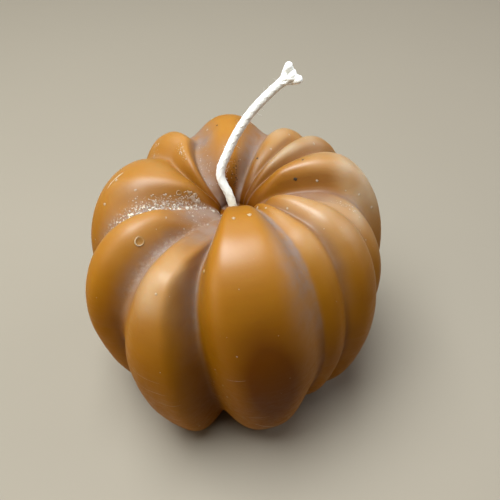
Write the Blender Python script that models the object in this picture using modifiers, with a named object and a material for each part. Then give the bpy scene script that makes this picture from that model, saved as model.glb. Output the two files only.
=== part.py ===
"""A small beeswax candle cast in the shape of a ribbed pumpkin, with a braided cotton wick.

Metres, +Z up. The origin is the middle of the flat base, and the front faces -Y.
The wax is one casting: a turned blank whose surface is pressed into twelve uneven ribs.
The wick fills the casting's own hole from the base up, and leans back and to the right
above the crater.
"""
import math
from typing import NamedTuple

import bpy
from mathutils import Vector
from mathutils.geometry import interpolate_bezier

MM = 0.001
COLLECTION = "pumpkin_candle"

# The casting, measured over the crest of a plain rib
BODY_RADIUS = 33.0 * MM
BODY_HEIGHT = 55.3 * MM
WAIST_HEIGHT = 29.5 * MM        # height of the widest ring
RIM_RADIUS = 17.5 * MM          # ring where the valleys lie highest, round the crater
BASE_RADIUS = 22.8 * MM
CRATER_DEPTH = 10.0 * MM        # from the rim down to where the wick leaves the wax
CRATER_FLOOR = 3.0 * MM         # radius of the crater's level floor under a plain rib
CRATER_SHIFT = Vector((-0.3 * MM, 1.6 * MM, 0.0))   # the crater is a little off the middle
SHOULDER_POWER = 2.15           # 2 is an ellipse, more is squarer
BELLY_POWER = 1.7
WALL_POWER = 2.0                # the turn down into the crater

# The valleys between the ribs
VALLEY_BASE_CUT = 5.5 * MM      # how far they lie inside the ribs' feet, which part like toes
HEAD_LENGTH = 8.0 * MM          # run over which a rib's head rises out of the crater's side
SQUARE_END = 2.0                # a squared head has gone this far round: 2 is the waist
SQUARE_FADE = 0.7               # and it fades over this much before

# The wick and the hole that it stands in
WICK_RADIUS = 0.95 * MM
WICK_GAP = 0.3 * MM
HOLE_RADIUS = WICK_RADIUS + WICK_GAP
WICK_FLARE = 2.2                # the cut tip spreads to this many times the radius
FLARE_LENGTH = 3.0 * MM

# Fineness of the meshes
STEPS_PER_HALF_RIB = 5
CRATER_STATIONS = 7
SHOULDER_STATIONS = 9
BELLY_STATIONS = 9
POINTS_PER_SPAN = 3
WICK_SIDES_RESOLUTION = 3


class Line(NamedTuple):
    """The run of a crest or a valley: its angle at three heights, in degrees.

    Angles are seen from above, counter-clockwise from +X. The hook is how much further it
    has turned where it ends at the crater's floor.
    """

    crater: float
    waist: float
    foot: float
    hook: float = 0.0


class Rib(NamedTuple):
    """One rib and the valley that follows it, with sizes in mm."""

    crest: Line
    valley: Line
    bulge: float      # how far the crest stands outside the plain radius
    rise: float       # how far the crest stands above the plain height
    cut: float        # depth of the valley at the waist
    drop: float       # depth of the valley where the crests are highest
    head: float       # distance from the axis at which the rib's head starts to rise
    rim: float = RIM_RADIUS / MM        # distance from the axis to its crest's highest place
    floor: float = CRATER_FLOOR / MM    # radius of the crater's floor below the crest
    wall: float = WALL_POWER    # how square the crest turns down into the crater
    fullness: float = 2.5       # section of the rib, where 2 is a parabola
    near_square: float = 1.0    # how much fuller its head is on the clockwise side
    far_square: float = 1.0     # and on the other side
    rounding: float = 0.12      # share of a half rib that the valley's rounding takes


RIBS = [
    # The wide front rib, which stands high and square at the crater
    Rib(Line(-84, -80, -75), Line(-59, -55, -54), 0.3, 2.4, 3.4, 0.8, 0, floor=6.2, wall=3.0,
        fullness=2.8, near_square=2.6, far_square=1.7, rounding=0.26),
    # A low narrow one in a broad hollow
    Rib(Line(-51, -49, -46), Line(-44, -43, -40), -2.4, -0.2, 3.2, 1.1, 0, floor=5.5,
        wall=3.6, fullness=2.2, rounding=0.20),
    Rib(Line(-34, -32, -31), Line(-18, -18, -18), -0.5, 0.8, 2.4, 3.4, 0, floor=6.5,
        wall=3.0, rounding=0.16),
    # A sunken one
    Rib(Line(-12, -11, -11), Line(-3, 0, 0), -1.1, -3.4, 2.6, 3.8, 17, floor=5.0,
        rounding=0.36),
    Rib(Line(12, 8, 7), Line(31, 33, 33), 0.5, 1.2, 2.4, 2.8, 2, rounding=0.16),
    Rib(Line(39, 41, 41), Line(47, 50, 50), 0.6, -0.6, 2.4, 2.4, 2, rounding=0.16),
    Rib(Line(57, 59, 59), Line(69, 69, 68), -0.6, -1.6, 3.4, 4.0, 2, rounding=0.40),
    # The wide back rib
    Rib(Line(93, 93, 93), Line(115, 117, 119, 37), 0.0, 0.0, 3.4, 3.8, 2, rounding=0.50),
    Rib(Line(126, 126, 126, 31), Line(140, 141, 141, 22), -0.6, -1.2, 3.8, 4.6, 4),
    Rib(Line(171, 171, 171), Line(193, 186, 185), -0.3, -1.0, 4.0, 5.4, 2, rounding=0.32),
    # Two whose heads start short of the crater
    Rib(Line(208, 203, 203), Line(224, 214, 213), 0.8, -1.8, 3.8, 6.6, 9, rim=19.5, wall=1.8,
        rounding=0.38),
    Rib(Line(243, 244, 246), Line(251, 257, 261), 1.8, -2.2, 4.6, 5.8, 14, rim=25.0,
        fullness=3.0, rounding=0.30),
]

# The wick's middle line, from its foot just inside the base to the middle of its cut tip
WICK_ROUTE = [
    Vector((-0.3, 1.6, 0.3)) * MM,
    Vector((-0.3, 1.6, 24.0)) * MM,
    Vector((-0.3, 1.6, 45.2)) * MM,
    Vector((-1.1, 2.9, 48.8)) * MM,
    Vector((-2.9, 4.9, 53.0)) * MM,
    Vector((-1.3, 6.7, 57.2)) * MM,
    Vector((0.9, 8.3, 61.2)) * MM,
    Vector((3.9, 9.6, 65.2)) * MM,
    Vector((8.0, 10.7, 69.2)) * MM,
    Vector((12.1, 11.4, 72.6)) * MM,
]


class Section(NamedTuple):
    """The casting's outline in one plane through its axis, along a crest or a valley."""

    radius: float
    height: float
    rim_radius: float
    base_radius: float
    crater_depth: float
    floor_radius: float
    wall_power: float


PLAIN = Section(BODY_RADIUS, BODY_HEIGHT, RIM_RADIUS, BASE_RADIUS, CRATER_DEPTH,
                CRATER_FLOOR, WALL_POWER)


def stations():
    """The casting's outline as (zone, share) pairs, from the hole's mouth round to its foot."""
    crater = [("hole mouth", 0.0)]
    crater += [("crater", i / CRATER_STATIONS) for i in range(CRATER_STATIONS)]
    shoulder = [("shoulder", i / SHOULDER_STATIONS) for i in range(SHOULDER_STATIONS)]
    belly = [("belly", i / BELLY_STATIONS) for i in range(BELLY_STATIONS + 1)]
    return crater + shoulder + belly + [("hole foot", 1.0)]


def outline_point(section, zone, share):
    """Radius and height of a section's outline at a share of the way through a zone."""
    turn = share * math.pi / 2
    if zone == "crater":
        inward = math.cos(turn) ** (2 / section.wall_power)
        up = math.sin(turn) ** (2 / section.wall_power)
        return (section.rim_radius + (section.floor_radius - section.rim_radius) * inward,
                section.height + section.crater_depth * (up - 1))
    if zone == "shoulder":
        out = max(math.sin(turn), 0.0) ** (2 / SHOULDER_POWER)
        up = max(math.cos(turn), 0.0) ** (2 / SHOULDER_POWER)
        return (section.rim_radius + (section.radius - section.rim_radius) * out,
                WAIST_HEIGHT + (section.height - WAIST_HEIGHT) * up)
    if zone == "belly":
        out = max(math.cos(turn), 0.0) ** (2 / BELLY_POWER)
        down = max(math.sin(turn), 0.0) ** (2 / BELLY_POWER)
        return (section.base_radius + (section.radius - section.base_radius) * out,
                WAIST_HEIGHT * (1 - down))
    return HOLE_RADIUS, section.height - section.crater_depth if zone == "hole mouth" else 0.0


class Step(NamedTuple):
    """One step round the casting, between a rib's crest and one of its two valleys."""

    rib: Rib
    before: Rib           # the next rib clockwise
    after: Rib            # the next rib counter-clockwise
    clockwise: bool       # whether the step lies on the crest's clockwise side
    turn_back: float      # 360 where that side's valley is counted from the other side of +X
    share: float          # 0 on the crest and 1 in the valley


def round_steps():
    """All the steps round the casting: each rib has as many, from valley to valley."""
    steps = []
    for index, rib in enumerate(RIBS):
        before = RIBS[index - 1]
        after = RIBS[(index + 1) % len(RIBS)]
        turn_back = 360 if index == 0 else 0
        for i in range(STEPS_PER_HALF_RIB):
            steps.append(Step(rib, before, after, True, turn_back, 1 - i / STEPS_PER_HALF_RIB))
        for i in range(STEPS_PER_HALF_RIB):
            steps.append(Step(rib, before, after, False, 0, i / STEPS_PER_HALF_RIB))
    return steps


def crest_section(rib):
    """The outline along a rib's crest."""
    bulge, rise = rib.bulge * MM, rib.rise * MM
    return Section(BODY_RADIUS + bulge, BODY_HEIGHT + rise, rib.rim * MM, BASE_RADIUS + bulge,
                   CRATER_DEPTH + rise, rib.floor * MM, rib.wall)


def valley_rib(step):
    """The rib that the valley on this side of the crest follows."""
    return step.before if step.clockwise else step.rib


def valley_section(step):
    """The outline that a step would have without its rib, between those of the two valleys."""
    near = valley_rib(step)
    far = step.rib if step.clockwise else step.before
    beside, beyond = ((step.before, step.after) if step.clockwise
                      else (step.after, step.before))
    mix = (1 - step.share) / 2
    cut = mixed(near.cut, far.cut, mix) * MM
    drop = mixed(near.drop, far.drop, mix) * MM
    floor_radius = (step.rib.floor + mixed(beside.floor, beyond.floor, mix)) / 2 * MM
    wall_power = (step.rib.wall + mixed(beside.wall, beyond.wall, mix)) / 2
    return Section(BODY_RADIUS - cut, BODY_HEIGHT - drop, RIM_RADIUS,
                   BASE_RADIUS - VALLEY_BASE_CUT, CRATER_DEPTH - drop, floor_radius,
                   wall_power)


def mixed(first, second, share):
    """A value between two others."""
    return first + (second - first) * share


def smooth_share(value):
    """Ease a value from 0 to 1 with level ends."""
    share = min(max(value, 0.0), 1.0)
    return share * share * (3 - 2 * share)


def distance_round(zone, share):
    """How far round the outline a point is: 0 to 1 in the crater, to 2 at the waist, to 3."""
    return {"hole mouth": 0, "crater": 0, "shoulder": 1, "belly": 2, "hole foot": 2}[zone] + share


def valley_weight(step, zone, share):
    """0 on a crest and 1 in a valley, with a full section and a rounded valley."""
    rounding = valley_rib(step).rounding
    gap = math.hypot(1 - step.share, rounding) - rounding
    widest = math.hypot(1, rounding) - rounding
    square = step.rib.near_square if step.clockwise else step.rib.far_square
    squared = smooth_share((SQUARE_END - distance_round(zone, share)) / SQUARE_FADE)
    return (1 - gap / widest) ** (step.rib.fullness * (1 + (square - 1) * squared))


def line_angle(line, zone, share):
    """The angle of a crest or valley, which turns smoothly from crater to waist to foot."""
    if zone == "shoulder":
        return line.waist + (line.crater - line.waist) * math.cos(share * math.pi / 2)
    if zone == "belly":
        return line.waist + (line.foot - line.waist) * math.sin(share * math.pi / 2)
    if zone == "crater":
        return line.crater + line.hook * math.cos(share * math.pi / 2)
    return line.foot if zone == "hole foot" else line.crater + line.hook


def step_angle(step, zone, share):
    """The angle of a step in radians, at a share of the way through a zone."""
    crest = line_angle(step.rib.crest, zone, share)
    valley = line_angle(valley_rib(step).valley, zone, share) - step.turn_back
    return math.radians(crest + (valley - crest) * step.share)


def crater_shift(zone, height):
    """How far a point moves with the crater: all of it inside, fading out down to the waist."""
    if zone in ("hole mouth", "crater", "hole foot"):
        return CRATER_SHIFT
    return CRATER_SHIFT * smooth_share((height - WAIST_HEIGHT) / (BODY_HEIGHT - WAIST_HEIGHT))


def head_swell(rib, zone, radius):
    """How much of the rib there is at a distance from the axis: 0 short of its head, then 1."""
    if zone not in ("crater", "shoulder"):
        return 1.0
    return smooth_share((radius - rib.head * MM) / HEAD_LENGTH)


def ribbed_point(step, zone, share):
    """The place of a turned point once the ribs are pressed into the blank."""
    crest_radius, crest_height = outline_point(crest_section(step.rib), zone, share)
    valley_radius, valley_height = outline_point(valley_section(step), zone, share)
    swell = head_swell(step.rib, zone, crest_radius)
    weight = 1 - (1 - valley_weight(step, zone, share)) * swell
    angle = step_angle(step, zone, share)
    radius = crest_radius + (valley_radius - crest_radius) * weight
    height = crest_height + (valley_height - crest_height) * weight
    around = Vector((math.cos(angle), math.sin(angle), 0.0))
    return around * radius + Vector((0.0, 0.0, height)) + crater_shift(zone, height)


def wax_material():
    """Raw beeswax, amber brown with a soft gloss."""
    return make_material("beeswax", (0.42, 0.20, 0.045, 1.0), 0.38)


def wick_material():
    """Bleached cotton yarn."""
    return make_material("cotton", (0.86, 0.83, 0.76, 1.0), 0.9)


def make_material(name, colour, roughness):
    """A Principled material with a plain colour and roughness."""
    material = bpy.data.materials.new(name)
    material.use_nodes = True
    shader = material.node_tree.nodes["Principled BSDF"]
    shader.inputs["Base Color"].default_value = colour
    shader.inputs["Roughness"].default_value = roughness
    shader.inputs["Metallic"].default_value = 0.0
    return material


def turned_blank(name, step_count):
    """A closed outline screwed round the axis, with the wick's hole down its middle."""
    places = [outline_point(PLAIN, zone, share) for zone, share in stations()]
    mesh = bpy.data.meshes.new(name)
    count = len(places)
    edges = [(i, (i + 1) % count) for i in range(count)]
    mesh.from_pydata([(radius, 0.0, height) for radius, height in places], edges, [])
    blank = bpy.data.objects.new(name, mesh)
    screw = blank.modifiers.new("turning", "SCREW")
    screw.axis = "Z"
    screw.steps = step_count
    screw.render_steps = step_count
    screw.merge_threshold = 0.00001
    return blank


def build_wax_body(collection):
    """The casting: the turned blank with every vertex moved to its place on the ribs."""
    steps = round_steps()
    outline = stations()
    blank = turned_blank("blank", len(steps))
    collection.objects.link(blank)
    evaluated = blank.evaluated_get(bpy.context.evaluated_depsgraph_get())
    mesh = bpy.data.meshes.new_from_object(evaluated)
    bpy.data.objects.remove(blank)
    for vertex in mesh.vertices:
        step = steps[vertex.index // len(outline)]
        vertex.co = ribbed_point(step, *outline[vertex.index % len(outline)])
    mesh.name = "wax_body"
    mesh.shade_smooth()
    mesh.set_sharp_from_angle(angle=math.radians(50))
    mesh.materials.clear()
    mesh.materials.append(wax_material())
    collection.objects.link(bpy.data.objects.new("wax_body", mesh))


def smooth_route(points, per_span):
    """Points along a smooth curve through the given ones, each span a Bezier arc."""
    last = len(points) - 1
    slopes = [(points[min(i + 1, last)] - points[max(i - 1, 0)]) / 6 for i in range(last + 1)]
    route = []
    for i in range(last):
        reach = (points[i + 1] - points[i]).length / 3
        start = points[i] + slopes[i].normalized() * reach
        end = points[i + 1] - slopes[i + 1].normalized() * reach
        route += interpolate_bezier(points[i], start, end, points[i + 1], per_span + 1)[:-1]
    return route + [points[-1]]


def build_wick(collection):
    """The wick: one round cord with closed ends, spread at its cut tip."""
    route = smooth_route(WICK_ROUTE, POINTS_PER_SPAN)
    curve = bpy.data.curves.new("wick", "CURVE")
    curve.dimensions = "3D"
    curve.bevel_depth = WICK_RADIUS
    curve.bevel_resolution = WICK_SIDES_RESOLUTION
    curve.use_fill_caps = True
    spline = curve.splines.new("POLY")
    spline.points.add(len(route) - 1)
    for point, place in zip(spline.points, route):
        from_tip = (place - route[-1]).length
        spread = max(1 - from_tip / FLARE_LENGTH, 0.0)
        point.co = (*place, 1.0)
        point.radius = 1 + (WICK_FLARE - 1) * spread
    curve.materials.append(wick_material())
    collection.objects.link(bpy.data.objects.new("wick", curve))


def main():
    """Clear the scene and build the two pieces."""
    for obj in list(bpy.data.objects):
        bpy.data.objects.remove(obj)
    collection = bpy.data.collections.new(COLLECTION)
    bpy.context.scene.collection.children.link(collection)
    build_wax_body(collection)
    build_wick(collection)


main()
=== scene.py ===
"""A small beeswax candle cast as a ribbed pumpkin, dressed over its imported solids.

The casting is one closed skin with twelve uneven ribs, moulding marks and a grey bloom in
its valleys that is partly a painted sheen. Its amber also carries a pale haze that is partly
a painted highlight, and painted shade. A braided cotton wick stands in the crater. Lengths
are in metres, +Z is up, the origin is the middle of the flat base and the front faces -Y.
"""

import logging
import math
import random
from dataclasses import dataclass, field
from enum import Enum
from typing import Iterable, NamedTuple, Optional, Sequence, TypeVar

import bpy
import numpy as np
from mathutils import Matrix, Vector, noise
from mathutils.geometry import interpolate_bezier


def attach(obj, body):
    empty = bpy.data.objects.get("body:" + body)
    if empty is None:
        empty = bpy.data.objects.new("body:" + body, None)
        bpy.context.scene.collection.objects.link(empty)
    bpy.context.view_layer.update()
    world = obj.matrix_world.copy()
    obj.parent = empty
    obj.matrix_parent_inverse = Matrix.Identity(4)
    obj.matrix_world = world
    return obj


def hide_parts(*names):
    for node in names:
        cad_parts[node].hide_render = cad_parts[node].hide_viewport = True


logging.basicConfig(level=logging.INFO, format="%(message)s")
LOG = logging.getLogger("candle")

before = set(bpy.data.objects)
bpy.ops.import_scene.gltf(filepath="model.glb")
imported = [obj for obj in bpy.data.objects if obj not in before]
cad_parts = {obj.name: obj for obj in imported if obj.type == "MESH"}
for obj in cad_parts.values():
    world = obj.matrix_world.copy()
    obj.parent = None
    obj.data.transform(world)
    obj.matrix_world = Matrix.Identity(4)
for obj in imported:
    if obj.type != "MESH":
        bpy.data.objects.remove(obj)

MM = 0.001
Triple = tuple[float, float, float]
Colour = Triple
Profile = tuple[tuple[float, ...], tuple[float, ...]]
Direction = TypeVar("Direction", Vector, np.ndarray)


class Place(Enum):
    """The twelve ribs, named for where they stand, counter-clockwise seen from above."""

    FRONT = 0
    SLIVER = 1
    FRONT_RIGHT = 2
    SUNKEN = 3
    RIGHT = 4
    BACK_RIGHT = 5
    PINCHED = 6
    BACK = 7
    BACK_LEFT = 8
    LEFT = 9
    OUTER_LEFT = 10
    FRONT_LEFT = 11


class MarkKind(Enum):
    """The small faults that casting leaves in the wax."""

    RING = "a burst bubble with a raised rim"
    BEAD = "a bead of wax"
    FLECK = "a pale fleck"
    GRIT = "a dark speck of dust"


class Line(NamedTuple):
    """The run of a crest or a valley: its angle at three heights, in degrees.

    The hook is how much further it has turned where it ends at the crater's floor.
    """

    crater: float
    waist: float
    foot: float
    hook: float = 0.0


@dataclass(frozen=True)
class Rib:
    """One rib and the valley that follows it, with sizes in mm.

    Bulge and rise are how far its crest stands out and up, cut and drop how far its valley
    stays in and down. The head is the radius where it starts to swell, the rim that of its
    highest point, and the floor that where it meets the crater's floor. Wall, fullness and
    the two squares make its turns and its sides fuller, and rounding widens its valley.
    The other values are strengths of its colours: bloom, partly a painted sheen, in its
    valley, with its reach on either side, crust, a pale haze that is partly a painted
    highlight and its place along the rib, painted shade on its near and far flanks, in
    its groove low down, in the valley and on its belly, and polish.
    """

    crest: Line
    valley: Line
    bulge: float
    rise: float
    cut: float
    drop: float
    head: float
    rim: float = 17.5
    floor: float = 3.0
    wall: float = 2.0
    fullness: float = 2.5
    near_square: float = 1.0
    far_square: float = 1.0
    rounding: float = 0.12
    # The grey bloom in the valley is partly a painted sheen, the pale haze partly a painted
    # highlight.
    bloom_and_sheen: float = 0.4
    bloom_and_sheen_width: float = 0.3
    bloom_and_sheen_beyond: float = 0.3
    crust: float = 0.0
    haze_and_highlight: float = 0.2
    haze_and_highlight_at: float = 1.12
    # Flank, far flank, groove, shade and the belly value below are strengths of painted shade.
    flank: float = 0.0
    far_flank: float = 0.0
    groove: float = 0.42
    shade: float = 0.0
    tan: float = 0.4
    polish: float = 0.8


RIBS: tuple[Rib, ...] = (
    Rib(Line(-84, -80, -75), Line(-59, -55, -54), 0.3, 2.4, 3.4, 0.8, 0, floor=6.2, wall=3.0,
        fullness=2.8, near_square=2.6, far_square=1.7, rounding=0.26, bloom_and_sheen=1.0,
        bloom_and_sheen_width=0.75, bloom_and_sheen_beyond=0.2, haze_and_highlight=0.0, tan=0.6, polish=0.85),
    Rib(Line(-51, -49, -46), Line(-44, -43, -40), -2.4, -0.2, 3.2, 1.1, 0, floor=5.5,
        wall=3.6, fullness=2.2, rounding=0.20, bloom_and_sheen=0.35, bloom_and_sheen_width=0.5,
        bloom_and_sheen_beyond=0.5, haze_and_highlight=0.35, shade=0.6, tan=0.5, polish=0.36),
    Rib(Line(-34, -32, -31), Line(-18, -18, -18), -0.5, 0.8, 2.4, 3.4, 0, floor=6.5,
        wall=3.0, rounding=0.16, bloom_and_sheen=0.5, haze_and_highlight=0.6, tan=0.5, polish=0.8),
    Rib(Line(-12, -11, -11), Line(-3, 0, 0), -1.1, -3.4, 2.6, 3.8, 17, floor=5.0,
        rounding=0.36, bloom_and_sheen=0.5, bloom_and_sheen_width=0.6, bloom_and_sheen_beyond=0.2, haze_and_highlight=0.7,
        haze_and_highlight_at=1.3, shade=0.85),
    Rib(Line(12, 8, 7), Line(31, 33, 33), 0.5, 1.2, 2.4, 2.8, 2, rounding=0.16, bloom_and_sheen=0.35,
        haze_and_highlight=1.0, haze_and_highlight_at=1.40, flank=0.8, polish=1.0),
    Rib(Line(39, 41, 41), Line(47, 50, 50), 0.6, -0.6, 2.4, 2.4, 2, rounding=0.16,
        bloom_and_sheen=0.35, haze_and_highlight=0.9, haze_and_highlight_at=1.0, flank=0.4),
    Rib(Line(57, 59, 59), Line(69, 69, 68), -0.6, -1.6, 3.4, 4.0, 2, rounding=0.40,
        bloom_and_sheen=1.0, bloom_and_sheen_width=0.5, bloom_and_sheen_beyond=0.85, haze_and_highlight=0.7, shade=0.5, flank=0.5),
    Rib(Line(93, 93, 93), Line(115, 117, 119, 37), 0.0, 0.0, 3.4, 3.8, 2, rounding=0.50,
        bloom_and_sheen=1.0, bloom_and_sheen_width=0.85, bloom_and_sheen_beyond=0.8, haze_and_highlight=0.1, polish=0.3),
    Rib(Line(126, 126, 126, 31), Line(140, 141, 141, 22), -0.6, -1.2, 3.8, 4.6, 4, bloom_and_sheen=0.35,
        bloom_and_sheen_width=0.22, bloom_and_sheen_beyond=0.22, haze_and_highlight=0.2, polish=0.55),
    Rib(Line(171, 171, 171), Line(193, 186, 185), -0.3, -1.0, 4.0, 5.4, 2, rounding=0.32,
        bloom_and_sheen=1.0, bloom_and_sheen_width=0.5, bloom_and_sheen_beyond=0.45, crust=1.0, haze_and_highlight=0.2, far_flank=0.6,
        tan=0.15, polish=0.6),
    Rib(Line(208, 203, 203), Line(224, 214, 213), 0.8, -1.8, 3.8, 6.6, 9, rim=19.5, wall=1.8,
        rounding=0.38, bloom_and_sheen=1.0, bloom_and_sheen_width=0.5, bloom_and_sheen_beyond=0.5, crust=0.1, haze_and_highlight=0.2,
        groove=0.5, shade=0.7, tan=0.0, polish=0.5),
    Rib(Line(243, 244, 246), Line(251, 257, 261), 1.8, -2.2, 4.6, 5.8, 14, rim=25.0,
        fullness=3.0, rounding=0.30, bloom_and_sheen=0.9, bloom_and_sheen_width=0.6, bloom_and_sheen_beyond=0.08, haze_and_highlight=0.7,
        haze_and_highlight_at=1.2, groove=0.95, shade=0.7, tan=0.25, polish=0.36),
)


@dataclass(frozen=True)
class Mark:
    """One fault in the casting: what it is, where it lies and how wide it is in mm.

    Across runs from -1 in the valley before the rib, over 0 on its crest, to 1. Along runs
    from 0 to 1 up the crater, to 2 over the shoulder and to 3 down to the foot.
    """

    kind: MarkKind
    place: Place
    across: float
    along: float
    size: float


@dataclass(frozen=True)
class Streak:
    """A thin raised line in the wax, from one place on a rib to another, its width in mm."""

    place: Place
    start: tuple[float, float]
    end: tuple[float, float]
    width: float
    pale: float = 0.5


@dataclass(frozen=True)
class Scatter:
    """A patch of small marks on one rib: its reach, their number and their sizes in mm."""

    place: Place
    across: tuple[float, float]
    along: tuple[float, float]
    count: int
    smallest: float
    largest: float
    kind: MarkKind = MarkKind.FLECK


MARKS: tuple[Mark, ...] = (
    Mark(MarkKind.RING, Place.OUTER_LEFT, 0.54, 1.15, 1.9),
    Mark(MarkKind.RING, Place.LEFT, 0.56, 0.70, 1.1),
    Mark(MarkKind.BEAD, Place.FRONT, -0.85, 1.20, 0.9),
    Mark(MarkKind.BEAD, Place.FRONT_LEFT, -0.06, 1.27, 0.5),
    Mark(MarkKind.FLECK, Place.LEFT, 0.50, 1.08, 0.6),
    Mark(MarkKind.FLECK, Place.OUTER_LEFT, 0.31, 0.83, 0.5),
    Mark(MarkKind.FLECK, Place.OUTER_LEFT, 0.77, 0.77, 0.5),
    Mark(MarkKind.BEAD, Place.FRONT_LEFT, -0.78, 0.53, 0.6),
    # A pale fleck where a glint shows: a painted glint.
    Mark(MarkKind.FLECK, Place.OUTER_LEFT, -0.05, 0.60, 0.7),
    Mark(MarkKind.FLECK, Place.BACK_LEFT, 0.89, 1.30, 0.6),
    Mark(MarkKind.FLECK, Place.BACK_LEFT, 0.61, 1.26, 0.6),
    Mark(MarkKind.GRIT, Place.BACK, 0.34, 1.03, 0.5),
    Mark(MarkKind.FLECK, Place.BACK, 0.62, 1.09, 0.7),
    Mark(MarkKind.FLECK, Place.PINCHED, -0.45, 1.11, 0.5),
    Mark(MarkKind.FLECK, Place.PINCHED, -0.36, 0.83, 0.6),
    Mark(MarkKind.GRIT, Place.PINCHED, 0.25, 0.67, 0.5),
    # A pale fleck where a sparkle shows: a painted glint.
    Mark(MarkKind.FLECK, Place.BACK_RIGHT, -0.50, 1.14, 0.8),
    Mark(MarkKind.GRIT, Place.RIGHT, 0.13, 0.87, 0.5),
    Mark(MarkKind.GRIT, Place.RIGHT, -0.60, 0.77, 0.8),
    Mark(MarkKind.FLECK, Place.RIGHT, -0.70, 0.97, 0.6),
    Mark(MarkKind.FLECK, Place.RIGHT, -0.70, 1.39, 0.6),
    Mark(MarkKind.FLECK, Place.RIGHT, -0.80, 1.24, 0.5),
    Mark(MarkKind.FLECK, Place.RIGHT, -0.60, 1.58, 0.7),
    Mark(MarkKind.FLECK, Place.FRONT, 0.23, 0.87, 1.0),
    Mark(MarkKind.BEAD, Place.FRONT, -0.25, 0.90, 0.8),
    Mark(MarkKind.FLECK, Place.SLIVER, -0.70, 0.53, 0.7),
    Mark(MarkKind.FLECK, Place.SLIVER, -0.40, 0.73, 0.5),
    Mark(MarkKind.FLECK, Place.FRONT_RIGHT, -0.73, 0.87, 0.6),
    Mark(MarkKind.FLECK, Place.FRONT, 0.30, 2.39, 0.8),
    Mark(MarkKind.FLECK, Place.FRONT, -0.37, 1.74, 0.4),
    Mark(MarkKind.FLECK, Place.FRONT_LEFT, 0.50, 2.49, 0.6),
    Mark(MarkKind.FLECK, Place.FRONT, -0.78, 1.89, 0.4),
    Mark(MarkKind.FLECK, Place.FRONT, -0.70, 1.99, 0.4),
    Mark(MarkKind.FLECK, Place.FRONT, -0.67, 2.11, 0.5),
    Mark(MarkKind.FLECK, Place.OUTER_LEFT, -0.80, 0.27, 0.9),
    Mark(MarkKind.FLECK, Place.LEFT, 0.06, 1.27, 0.9),
    Mark(MarkKind.FLECK, Place.LEFT, 0.44, 1.41, 0.8),
)
STREAKS: tuple[Streak, ...] = (
    # A raised flash line at the front rib's foot, painted pale as its edge highlight.
    Streak(Place.FRONT, (-0.30, 2.36), (0.03, 2.50), 0.30, 0.8),
    Streak(Place.FRONT, (-0.59, 1.91), (-0.30, 1.88), 0.16),
    Streak(Place.FRONT, (-0.42, 2.26), (-0.05, 2.25), 0.20),
    Streak(Place.FRONT_LEFT, (-0.30, 2.06), (0.30, 2.00), 0.16),
    Streak(Place.FRONT_LEFT, (-0.10, 2.14), (0.42, 2.12), 0.16),
    Streak(Place.FRONT_LEFT, (-0.45, 1.95), (0.05, 1.92), 0.14),
    Streak(Place.BACK_RIGHT, (-0.62, 1.36), (-0.50, 1.50), 0.18),
    # A pale raised streak on the left rib's top edge: a painted glint.
    Streak(Place.LEFT, (-0.10, 1.22), (0.16, 1.36), 0.45, 1.0),
)
SCATTERS: tuple[Scatter, ...] = (
    Scatter(Place.LEFT, (0.62, 0.99), (0.40, 1.22), 250, 0.15, 0.50),
    Scatter(Place.LEFT, (0.42, 0.72), (0.46, 0.66), 64, 0.25, 0.90),
    Scatter(Place.OUTER_LEFT, (-0.99, -0.84), (0.30, 1.20), 60, 0.12, 0.40),
    Scatter(Place.OUTER_LEFT, (-0.60, 0.90), (0.40, 0.85), 60, 0.10, 0.28),
    Scatter(Place.BACK, (0.62, 0.98), (0.40, 1.00), 50, 0.10, 0.30),
    # Pale raised flecks laid over a scratchy highlight on this rib: painted highlight.
    Scatter(Place.BACK_LEFT, (0.20, 0.62), (0.75, 1.02), 36, 0.15, 0.45),
    Scatter(Place.BACK_LEFT, (0.55, 0.95), (1.20, 1.36), 24, 0.15, 0.45),
    Scatter(Place.FRONT, (-0.95, -0.68), (1.80, 2.60), 40, 0.10, 0.24),
    Scatter(Place.SUNKEN, (0.02, 0.45), (1.08, 1.45), 44, 0.15, 0.50),
    Scatter(Place.FRONT_LEFT, (-0.90, 0.60), (2.30, 2.60), 24, 0.10, 0.24),
    Scatter(Place.BACK, (-0.55, 0.05), (0.28, 0.60), 40, 0.15, 0.40, MarkKind.GRIT),
    Scatter(Place.BACK, (-0.55, 0.05), (0.28, 0.70), 24, 0.12, 0.30),
)
STRAY_FLECKS = 10

# How strong each painted value is at places along the outline, or across a rib.
# The grey bloom in the valleys is partly a painted sheen.
BLOOM_AND_SHEEN_ALONG: Profile = ((0.0, 0.4, 1.35, 1.6, 1.85, 2.1, 2.5),
                        (0.9, 1.0, 1.0, 0.65, 0.18, 0.04, 0.0))
CRUST_ALONG: Profile = ((0.2, 0.6, 1.1, 1.5, 1.8), (0.6, 1.0, 1.0, 0.5, 0.0))
# Painted shade: darker in the crater, low on the belly, in the valleys, in the grooves and on the
# flanks.
CRATER_DARK_ALONG: Profile = ((0.0, 0.3, 0.6, 0.9), (1.0, 1.0, 0.4, 0.0))
BELLY_DARK_ALONG: Profile = ((1.25, 1.45, 1.65, 1.9, 2.3, 2.6, 2.9),
                             (0.0, 0.3, 0.85, 1.0, 0.9, 0.4, 0.2))
SHADE_ALONG: Profile = ((0.0, 1.2, 1.7, 2.0), (1.0, 1.0, 0.5, 0.0))
GROOVE_ALONG: Profile = ((1.5, 1.9, 2.3, 2.8), (0.0, 0.7, 0.9, 0.6))
FLANK_ALONG: Profile = ((0.3, 0.5, 1.05, 1.25), (0.0, 1.0, 1.0, 0.0))
FLANK_ACROSS: Profile = ((-1.0, -0.92, -0.6, -0.4), (0.0, 1.0, 1.0, 0.0))
FAR_FLANK_ALONG: Profile = ((0.3, 0.5, 1.15, 1.4), (0.6, 1.0, 1.0, 0.0))
FAR_FLANK_ACROSS: Profile = ((0.2, 0.4, 0.62, 0.75), (0.0, 1.0, 1.0, 0.0))
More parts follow.
